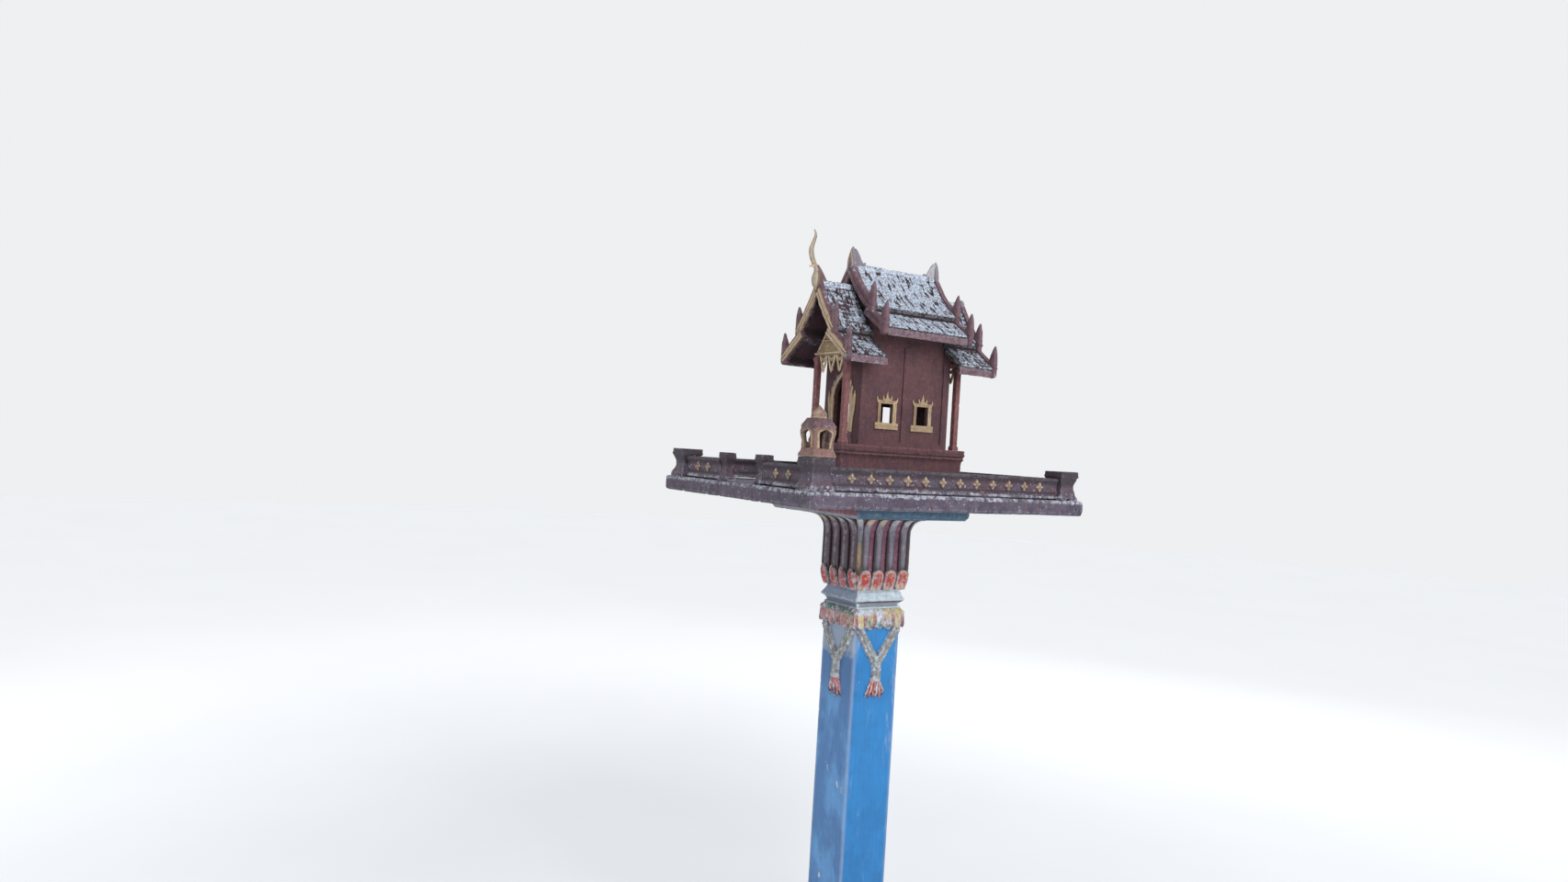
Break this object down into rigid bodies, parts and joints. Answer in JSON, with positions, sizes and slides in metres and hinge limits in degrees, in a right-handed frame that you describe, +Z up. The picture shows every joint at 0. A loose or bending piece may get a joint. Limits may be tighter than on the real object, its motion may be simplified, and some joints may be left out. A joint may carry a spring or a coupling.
{
  "type": "spirit house",
  "caption": "Cast concrete spirit house on a single square pillar: small gabled shrine with porches on a railed platform.",
  "frame": {"origin": "middle of the pillar's foot, on the ground", "axes": "+Z up, the porch and the gate face -Y, +X is the object's right hand as seen from the front"},
  "size_m": [0.512, 0.62, 1.514],
  "materials": {
    "shaft_paint": "worn blue paint over cast concrete, greyed and flaking near the foot",
    "garland_relief": "cast relief painted grey, gold and green, worn",
    "petal_paint": "cast petals painted red, pink, yellow and green, worn",
    "ring_paint": "pale weathered paint over cast concrete",
    "capital_paint": "maroon and grey paint over cast concrete, weathered",
    "deck_concrete": "dark weathered maroon concrete with white lichen",
    "rail_concrete": "dark weathered maroon concrete with pale lichen",
    "gilding": "dull gold paint over relief, worn and dusty",
    "clay": "reddish fired clay with worn gold edges",
    "wall_paint": "red-brown paint over cast concrete",
    "gable_paint": "maroon paint over cast concrete",
    "roof_tile": "small tiles in relief, covered with pale grey lichen"
  },
  "bodies": {
    "root": {"pillar_shaft": "shaft_paint", "garland_front": "garland_relief", "garland_back": "garland_relief", "garland_left": "garland_relief", "garland_right": "garland_relief", "petal_collar": "petal_paint", "neck_ring": "ring_paint", "lotus_capital": "capital_paint", "abacus_plate": "capital_paint", "platform_slab": "deck_concrete", "rail_front_left": "rail_concrete", "rail_front_right": "rail_concrete", "rail_left": "rail_concrete", "rail_right": "rail_concrete", "rail_back": "rail_concrete", "corner_post_front_left": "rail_concrete", "corner_post_front_right": "rail_concrete", "corner_post_back_left": "rail_concrete", "corner_post_back_right": "rail_concrete", "gate_post_left": "rail_concrete", "gate_post_right": "rail_concrete", "rosettes": "gilding", "lantern_body": "clay", "lantern_roof": "clay", "house_plinth": "wall_paint", "porch_columns": "wall_paint", "rear_columns": "wall_paint", "wall_front": "wall_paint", "wall_back": "wall_paint", "wall_left": "wall_paint", "wall_right": "wall_paint", "door_frame": "gilding", "rear_niche_frame": "gilding", "window_frames": "gilding", "pediment_front": "gilding", "pediment_rear": "gilding", "chofa": "gilding", "gable_front": "gable_paint", "gable_back": "gable_paint", "bargeboard_porch": "gable_paint", "bargeboard_main_front": "gable_paint", "bargeboard_main_back": "gable_paint", "bargeboard_rear": "gable_paint", "main_roof": "roof_tile", "porch_roof": "roof_tile", "rear_roof": "roof_tile"}
  },
  "joints": []
}
